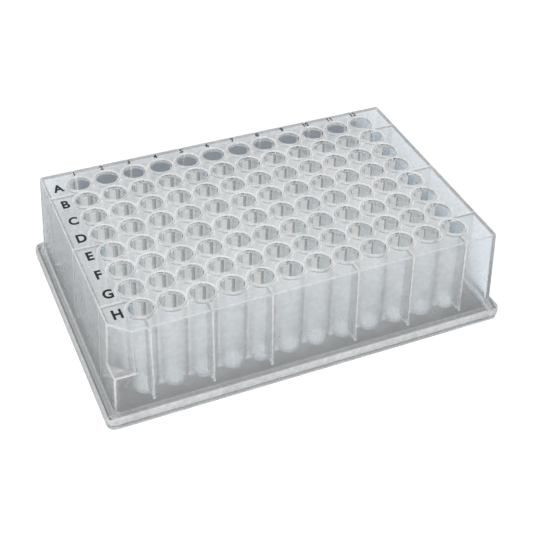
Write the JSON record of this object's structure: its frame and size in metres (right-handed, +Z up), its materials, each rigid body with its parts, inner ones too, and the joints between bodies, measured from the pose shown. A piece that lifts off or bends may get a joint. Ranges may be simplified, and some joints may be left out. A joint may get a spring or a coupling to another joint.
{
  "type": "deep well plate",
  "caption": "Translucent deep-well plate: a stepped base and drafted skirt around a grid of round-bottomed wells, with one bevelled corner.",
  "frame": {"origin": "centre of the footprint, on the surface that the plate stands on", "axes": "+X along the rows, from the first column to the last; +Y along the columns, towards row A; +Z up, out of the wells"},
  "size_m": [0.1278, 0.0854, 0.0325],
  "materials": {
    "natural_polypropylene": "translucent, satin moulded surface"
  },
  "bodies": {
    "root": {"well_plate": "natural_polypropylene"}
  },
  "joints": []
}
